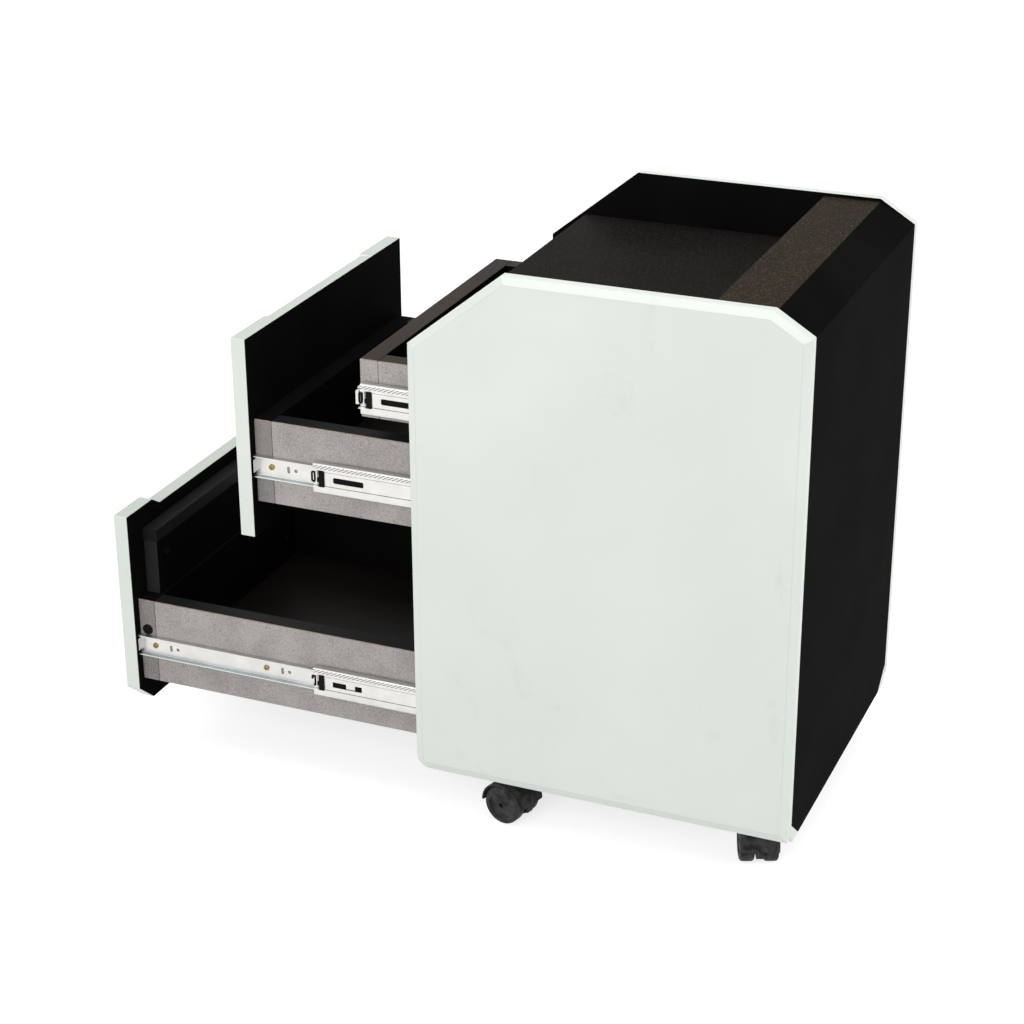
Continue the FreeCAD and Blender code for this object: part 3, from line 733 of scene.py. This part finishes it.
def rolled_marks(name, dark, light):
    """Plated steel with slanted darker marks, as the rollers and the balls leave them."""
    material, tree, shader = new_material(name, {"Metallic": 1.0})
    place = add_node(tree, "ShaderNodeTexCoord")
    slant = add_node(tree, "ShaderNodeVectorMath", operation="DOT_PRODUCT")
    slant.inputs[1].default_value = (0.0, 1.0, mark_slant)
    tree.links.new(place.outputs["Object"], slant.inputs[0])
    turns = add_node(tree, "ShaderNodeMath", operation="MULTIPLY", inputs={1: 2 * math.pi / mark_pitch})
    tree.links.new(slant.outputs["Value"], turns.inputs[0])
    wave = add_node(tree, "ShaderNodeMath", operation="SINE")
    tree.links.new(turns.outputs[0], wave.inputs[0])
    tone = colors_between(tree, wave.outputs[0], ((0.3, light), (0.8, dark)))
    tree.links.new(tone, shader.inputs["Base Color"])
    surface = add_laminate_surface(tree, 60.0, 900.0)
    vary_roughness(tree, shader, surface.outputs["Grain"], 0.3, 0.45)
    add_bump(tree, shader, wave.outputs[0], 0.00008, 0.5)
    return material


zinc_steel = zinc_plate("zinc_steel", (0.585, 0.575, 0.555), (0.65, 0.64, 0.62), (0.30, 0.42))
# Painted shade with a teal reflection in it, for the inner face of the lower flanges.
blue_zinc = zinc_plate("blue_zinc", (0.34, 0.42, 0.43), (0.46, 0.55, 0.56), (0.28, 0.42))
# Painted shade: a dark zinc for the grooves beside the sunk web and the walls of holes and slots.
groove_zinc = zinc_plate("groove_zinc", (0.10, 0.10, 0.10), (0.18, 0.18, 0.18), (0.4, 0.55))
raceway_zinc = rolled_marks("raceway_zinc", (0.12, 0.12, 0.115), (0.60, 0.59, 0.58))
black_plastic = laminate("black_plastic", (0.0035, 0.0035, 0.0035), (0.0065, 0.0065, 0.0065),
                         (0.5, 0.65), 0.00003, constants={"Specular IOR Level": 0.06})


def join_pieces(pieces):
    """Joins several objects into the first one."""
    bpy.ops.object.select_all(action="DESELECT")
    for piece in pieces:
        piece.select_set(True)
    bpy.context.view_layer.objects.active = pieces[0]
    bpy.ops.object.join()
    return pieces[0]


def cut_windows(piece, cutters):
    """Cuts holes the shape of the cutters, and throws the cutters away."""
    cutter = join_pieces(cutters)
    bpy.ops.object.select_all(action="DESELECT")
    apply_modifier(piece, "BOOLEAN", operation="DIFFERENCE", solver="EXACT", object=cutter)
    bpy.data.objects.remove(cutter)
    piece.select_set(True)


def window_block(x, y, z, size_y, size_z, corner):
    """A cutter for a window through a web: its front end is at y, and its upright edges are rounded."""
    cutter = add_block("window", (x - cutter_half, y, z - size_z / 2),
                       (x + cutter_half, y + size_y, z + size_z / 2))
    bpy.ops.object.mode_set(mode="EDIT")
    select_parts(cutter, "edges", lambda e: edge_reach(e, 0) > cutter_half)
    bpy.ops.mesh.bevel(offset=corner, segments=3)
    bpy.ops.object.mode_set(mode="OBJECT")
    return cutter


def hole_rod(x, y, z, radius):
    """A cutter for a round hole through a web."""
    bpy.ops.mesh.primitive_cylinder_add(vertices=20, radius=radius, depth=2 * cutter_half,
                                        location=(x, y, z), rotation=(0.0, math.pi / 2, 0.0))
    bpy.ops.object.transform_apply()
    return bpy.context.active_object


def split_level(heights):
    """In edit mode, cuts new edges right round the piece at these heights."""
    for height in heights:
        bpy.ops.mesh.select_all(action="SELECT")
        bpy.ops.mesh.bisect(plane_co=(0.0, 0.0, height), plane_no=(0.0, 0.0, 1.0))


def bent_channel(name, web_x, tip_x, y0, y1, z0, z1, sunk_web=False):
    """A channel of strip steel. Its web stands at web_x, and its two flanges reach to tip_x."""
    piece = add_block(name, (min(web_x, tip_x), y0, z0), (max(web_x, tip_x), y1, z1))
    toward_tip = math.copysign(1.0, tip_x - web_x)
    level = (z0 + z1) / 2
    bpy.ops.object.mode_set(mode="EDIT")
    select_parts(piece, "faces", lambda f: f.normal.x * toward_tip > facing or abs(f.normal.y) > facing)
    bpy.ops.mesh.delete(type="FACE")
    select_parts(piece, "edges", lambda e: edge_reach(e, 1) > near
                 and abs(edge_middle(e).x - web_x) < near)
    bpy.ops.mesh.bevel(offset=fold_radius, segments=3)
    if sunk_web:
        band_edges = (-web_band_half - web_step, -web_band_half, web_band_half, web_band_half + web_step)
        split_level([level + offset for offset in (*band_edges, *marked_band)])
        select_parts(piece, "verts", lambda v: abs(v.co.z - level) < web_band_half + web_step / 2)
        bpy.ops.transform.translate(value=(toward_tip * web_sink, 0.0, 0.0))
    bpy.ops.object.mode_set(mode="OBJECT")
    apply_modifier(piece, "SOLIDIFY", thickness=steel, offset=-1.0)
    return piece


def finish_steel(piece, body, replaced, painted=()):
    """Smooths the folds and plates the member. Each painted pair is a material and its faces' test."""
    bpy.context.view_layer.objects.active = piece
    piece.select_set(True)
    bpy.ops.object.shade_smooth_by_angle(angle=math.radians(steel_smooth))
    piece.data.materials.clear()
    piece.data.materials.append(zinc_steel)
    for material, test in painted:
        paint_faces(piece, material, test)
    finish_piece(piece, body, [replaced])


def cabinet_members():
    """Six channels on the side panels, a pair at the level of each drawer."""
    for drawer in ("file", "box", "pencil"):
        carrier_low, carrier_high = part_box(drawer + "_slide_carriers")
        whole_low, whole_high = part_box("cabinet_slide_members")
        level = (carrier_low.z + carrier_high.z) / 2
        for side, word in sides:
            web = side * whole_high.x
            piece = bent_channel(drawer + "_cabinet_member_" + word, web, web - side * flange_depth_outer,
                                 whole_low.y, whole_high.y, level - cabinet_member_half,
                                 level + cabinet_member_half)
            finish_steel(piece, "cabinet", "cabinet_slide_members")


def middle_members(drawer):
    """The two middle members of a drawer: sunk web, window for the latch, notch for the retainer's
    loop, three long slots. The front slot of the file drawer's members is stepped by a tongue."""
    low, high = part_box(drawer + "_slide_carriers")
    level = (low.z + high.z) / 2
    start, width, height = latch_window
    depth, opening = loop_notch
    for side, word in sides:
        web = side * high.x
        piece = bent_channel(drawer + "_middle_member_" + word, web, web - side * flange_depth_middle,
                             low.y, high.y, low.z, high.z, sunk_web=True)
        cutters = [window_block(web, low.y + start, level, width, height, window_corner),
                   window_block(web, low.y - depth, level + loop_rise, 2 * depth, opening, window_corner)]
        plain = slot_starts[1:] if drawer == "file" else slot_starts
        cutters += [window_block(web, low.y + s, level, *slot_size, slot_corner) for s in plain]
        cut_windows(piece, cutters)
        for y, z, size_y, size_z in stepped_slot if drawer == "file" else ():
            cut_windows(piece, [window_block(web, low.y + slot_starts[0] + y, level + z,
                                             size_y, size_z, step_corner)])
        # The lower flange's inner face gets painted shade with a teal reflection.
        painted = [(blue_zinc, lambda f: f.normal.z > facing and f.center.z < level),
                   (raceway_zinc, lambda f: marked_band[0] < f.center.z - level < marked_band[1]
                    and f.normal.x * side > facing),
                   # painted shade in the grooves at the edges of the sunk web
                   (groove_zinc, lambda f: 0 < abs(f.center.z - level) - web_band_half < web_step)]
        finish_steel(piece, drawer + "_carriers", drawer + "_slide_carriers", painted)


def drawer_members(drawer):
    """The two members on the drawer's sides, with upright slots, spare holes and a bent front end."""
    low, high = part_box(drawer + "_drawer_members")
    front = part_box(drawer + "_front_board")[0].y
    level = (low.z + high.z) / 2
    slot_offset, slot_width, slot_height = upright_slot
    hole_offset, hole_radius = round_hole
    for side, word in sides:
        tip = side * high.x
        web = tip - side * flange_depth_drawer
        piece = bent_channel(drawer + "_drawer_member_" + word, web, tip, front, high.y, low.z, high.z)
        cutters = []
        for s in screw_starts:
            cutters.append(window_block(web, front + s + slot_offset, level, slot_width, slot_height,
                                        upright_corner))
            cutters.append(hole_rod(web, front + s + hole_offset, level, hole_radius))
        cut_windows(piece, cutters)
        tab = add_block("front_tab", (min(web, tip), low.y, level - tab_half),
                        (max(web, tip), front + steel, level + tab_half))
        ease_edges(tab, width=tab_ease)
        piece = join_pieces([piece, tab])
        # The lower lip's inner face gets painted shade with a teal reflection.
        painted = [(blue_zinc, lambda f: f.normal.z > lip_lean and f.center.z < level - lip_drop),
                   # painted shade on the walls of the holes and slots
                   (groove_zinc, lambda f: abs(f.normal.x) < lip_lean
                    and abs(f.center.z - level) < hole_zone
                    and front + hole_zone < f.center.y < high.y - hole_zone)]
        finish_steel(piece, drawer + "_drawer", drawer + "_drawer_members", painted)


cabinet_members()
for drawer in ("file", "box", "pencil"):
    middle_members(drawer)
    drawer_members(drawer)

# The plastic parts of the slides: a black latch in the middle member's window, the loop at the end
# of the ball retainer, and the retainer, a black strip that closes the slots from behind and stands
# as painted shade in them. Distances in depth are measured inwards from the middle member's outer face.
latch_depth = (0.0016, -0.0008)
latch_bar = (0.0042, 0.0196)
latch_waist = (0.003, 0.006)
latch_waist_cut = 0.0010
latch_fit = 0.0008
latch_bump = (0.0030, 0.0052)
latch_bump_rise = 0.3
latch_overlap = 0.001
latch_ease = 0.0005
bump_ease = 0.0008
loop = (0.0018, 0.0012)
hook = (0.0019, 0.0015)
loop_depth = 0.0016
loop_stretch = 0.0040
loop_middle = 0.0001
loop_smooth = 50.0
hook_opening = (0.010, 0.0020)
loop_reach = 0.0034
retainer_shade_depth = (0.0028, 0.0022)
retainer_shade_ends = (0.018, 0.020)
retainer_shade_half = 0.006
retainer_shade_ease = 0.0002


def latch(drawer, side, word):
    """A bar with a slight waist on its rear side, and a bump in front of it."""
    low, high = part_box(drawer + "_slide_carriers")
    level = (low.z + high.z) / 2
    x0, x1 = sorted(side * (high.x - depth) for depth in latch_depth)
    bar_width, bar_height = latch_bar
    bump_width, bump_height = latch_bump
    inner, outer = latch_waist
    y1 = low.y + latch_window[0] + latch_window[1] - latch_fit
    bar = add_block(drawer + "_latch_" + word, (x0, y1 - bar_width, level - bar_height / 2),
                    (x1, y1, level + bar_height / 2))
    bpy.ops.object.mode_set(mode="EDIT")
    split_level([level - outer, level - inner, level + inner, level + outer])
    select_parts(bar, "verts", lambda v: abs(abs(v.co.z - level) - outer) < near / 2
                 and v.co.y > y1 - near)
    bpy.ops.transform.translate(value=(0.0, -latch_waist_cut, 0.0))
    bpy.ops.object.mode_set(mode="OBJECT")
    ease_edges(bar, width=latch_ease)
    bump = add_block("latch_bump", (x0, y1 - bar_width - bump_width,
                                    level - bump_height * (1.0 - latch_bump_rise)),
                     (x1, y1 - bar_width + latch_overlap, level + bump_height * latch_bump_rise))
    ease_edges(bump, width=bump_ease)
    return join_pieces([bar, bump])


def retainer(drawer, side, word):
    """A black strip behind the slots, which is painted shade in them, and an oval loop that stands out
    of the middle member's front end. On the file drawer the loop is open in front, as a hook."""
    low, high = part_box(drawer + "_slide_carriers")
    level = (low.z + high.z) / 2
    x0, x1 = sorted(side * (high.x - depth) for depth in retainer_shade_depth)
    start, end = retainer_shade_ends
    # The strip behind the slots is painted shade in them.
    strip = add_block(drawer + "_retainer_" + word, (x0, low.y + start, level - retainer_shade_half),
                      (x1, high.y - end, level + retainer_shade_half))
    ease_edges(strip, width=retainer_shade_ease)
    radius, wire = hook if drawer == "file" else loop
    middle = Vector((side * (high.x - loop_depth), low.y - loop_reach + radius + wire, level + loop_rise))
    bpy.ops.mesh.primitive_torus_add(major_radius=radius, minor_radius=wire, major_segments=28,
                                     minor_segments=8, location=middle, rotation=(0.0, math.pi / 2, 0.0))
    ring = bpy.context.active_object
    bpy.ops.object.transform_apply()
    for up in (1, -1):
        move_corners(ring, lambda v: (v.co.z - middle.z) * up > loop_middle, (0.0, 0.0, up * loop_stretch))
    if drawer == "file":
        below, above = hook_opening
        cut_windows(ring, [add_block("opening", middle - Vector((cutter_half, cutter_half, below)),
                                     middle + Vector((cutter_half, 0.0, above)))])
    bpy.ops.object.shade_smooth_by_angle(angle=math.radians(loop_smooth))
    return join_pieces([strip, ring])


for drawer in ("file", "box", "pencil"):
    for side, word in sides:
        for made in (latch(drawer, side, word), retainer(drawer, side, word)):
            made.data.materials.clear()
            made.data.materials.append(black_plastic)
            finish_piece(made, drawer + "_carriers")

# The brass-plated pan-head screws through the drawer members, with a cross recess in the head.
head_radius = 0.0035
head_height = 0.0016
head_round = 0.0008
cross_size = (0.0042, 0.0009)
cross_depth = 0.0009
brass = laminate("brass", (0.20, 0.115, 0.045), (0.44, 0.29, 0.12), (0.28, 0.45), 0.00004,
                 patch_scale=500.0, constants={"Metallic": 1.0})


def brass_screw(x, y, z, side):
    """A pan head that stands on a web at x. Its cross is cut one arm at a time."""
    bpy.ops.mesh.primitive_cylinder_add(vertices=24, radius=head_radius, depth=head_height,
                                        location=(x + side * head_height / 2, y, z),
                                        rotation=(0.0, side * math.pi / 2, 0.0))
    bpy.ops.object.transform_apply()
    head = bpy.context.active_object
    bpy.ops.object.mode_set(mode="EDIT")
    select_parts(head, "edges", lambda e: abs(edge_middle(e).x - x) > head_height - near / 2
                 and edge_reach(e, 0) < head_height / 2)
    bpy.ops.mesh.bevel(offset=head_round, segments=3)
    bpy.ops.object.mode_set(mode="OBJECT")
    outer = x + side * head_height
    length, width = cross_size
    for wide, tall in ((width, length), (length, width)):
        low = (outer - cross_depth, y - wide / 2, z - tall / 2)
        high = (outer + cross_depth, y + wide / 2, z + tall / 2)
        cut_windows(head, [add_block("cross", low, high)])
    bpy.ops.object.shade_smooth_by_angle(angle=math.radians(steel_smooth))
    head.data.materials.clear()
    head.data.materials.append(brass)
    return head


def copy_piece(piece, name, step):
    """A copy with a mesh of its own, moved by the step."""
    made = piece.copy()
    made.data = piece.data.copy()
    made.name = name
    made.data.name = name
    made.data.transform(Matrix.Translation(step))
    bpy.context.scene.collection.objects.link(made)
    return made


for drawer in ("file", "box", "pencil"):
    low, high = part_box(drawer + "_drawer_members")
    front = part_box(drawer + "_front_board")[0].y
    level = (low.z + high.z) / 2
    for side, word in sides:
        web = side * (high.x - flange_depth_drawer + steel)
        name = drawer + "_screw_" + word + "_"
        heads = [brass_screw(web, front + screw_starts[0], level, side)]
        heads[0].name = name + "1"
        for number, start in enumerate(screw_starts[1:], 2):
            heads.append(copy_piece(heads[0], name + str(number), (0.0, start - screw_starts[0], 0.0)))
        for head in heads:
            finish_piece(head, drawer + "_drawer", [drawer + "_slide_screws"])

# The castors: twin wheels and a hood, moulded in dark grey nylon, on a plated swivel plate. Each
# wheel has a dished outer face, and a hub with a hole.
wheel_radius = 0.024
wheel_width = 0.017
wheel_round = 0.0038
dish_radius = 0.016
dish_wall = 0.0006
dish_depth = 0.0012
hub_radius = 0.0050
hub_rim = 0.0008
hub_rise = 0.0006
hub_hole_radius = 0.0031
hub_hole_wall = 0.0001
hub_hole_depth = 0.004
castor_web_half = 0.0045
wheel_clearance = 0.0007
castor_nylon = laminate("castor_nylon", (0.0085, 0.0083, 0.0082), (0.058, 0.056, 0.055), (0.5, 0.65),
                        0.0001, patch_scale=90.0, constants={"Specular IOR Level": 0.15})
dark_steel = laminate("dark_steel", (0.010, 0.010, 0.010), (0.018, 0.018, 0.018), (0.5, 0.65), 0.00004,
                      constants={"Metallic": 1.0})
plate_zinc = zinc_plate("plate_zinc", (0.42, 0.42, 0.43), (0.54, 0.54, 0.55), (0.35, 0.5))


def wheel_pair(corner):
    """Both wheels of a castor. Each pair in the list is an inset towards the wheel's middle, and how
    far the face then moves outwards."""
    joint = [j for j in frame["joints"] if j["name"] == corner + "_roll"][0]
    centre = Vector(joint["pos_m"])
    axis = Vector(joint["axis"]).normalized()
    turn = axis.to_track_quat("Z", "Y").to_euler()
    steps = ((wheel_radius - wheel_round - dish_radius, 0.0), (dish_wall, -dish_depth),
             (dish_radius - dish_wall - hub_radius - hub_rim, 0.0), (hub_rim, hub_rise),
             (hub_radius - hub_hole_radius, 0.0), (hub_hole_wall, -hub_hole_depth))
    wheels = []
    for side in (-1, 1):
        middle = centre + axis * side * (castor_web_half + wheel_clearance + wheel_width / 2)
        bpy.ops.mesh.primitive_cylinder_add(vertices=48, radius=wheel_radius, depth=wheel_width,
                                            location=middle, rotation=turn)
        bpy.ops.object.transform_apply()
        wheel = bpy.context.active_object
        bpy.ops.object.mode_set(mode="EDIT")
        select_parts(wheel, "faces", lambda f: abs(f.normal.dot(axis)) > facing)
        bpy.ops.mesh.bevel(offset=wheel_round, segments=4)
        select_parts(wheel, "faces", lambda f: f.normal.dot(axis) * side > facing and len(f.verts) > 8)
        for thickness, depth in steps:
            bpy.ops.mesh.inset(thickness=thickness, depth=depth)
        bpy.ops.object.mode_set(mode="OBJECT")
        bpy.ops.object.shade_smooth_by_angle(angle=math.radians(board_smooth))
        wheels.append(wheel)
    pair = join_pieces(wheels)
    pair.name = corner + "_wheels"
    pair.data.materials.clear()
    pair.data.materials.append(castor_nylon)
    finish_piece(pair, corner + "_wheels", [corner + "_castor_wheels"])


for corner in ("front_right", "rear_right", "front_left", "rear_left"):
    wheel_pair(corner)

# What is left keeps the shape of the solid model: housings and axles of the castors, their plates,
# the dowels, the ball rows with the latches' crosses, the plain screws, and the round plastic caps.
dowel_beech = laminate("dowel_beech", (0.50, 0.36, 0.22), (0.62, 0.47, 0.30), (0.6, 0.75), 0.0001)
kept_finishes = {"castor_housing": castor_nylon, "castor_axle": dark_steel, "castor_plates": plate_zinc,
                 "ball_cages": black_plastic, "wood_screws": zinc_steel, "fascia_screws": black_plastic,
                 "side_caps": black_plastic, "dowels": dowel_beech}
for name, node in frame["nodes"].items():
    for ending, material in kept_finishes.items():
        if name.endswith(ending):
            node.data.materials.clear()
            node.data.materials.append(material)
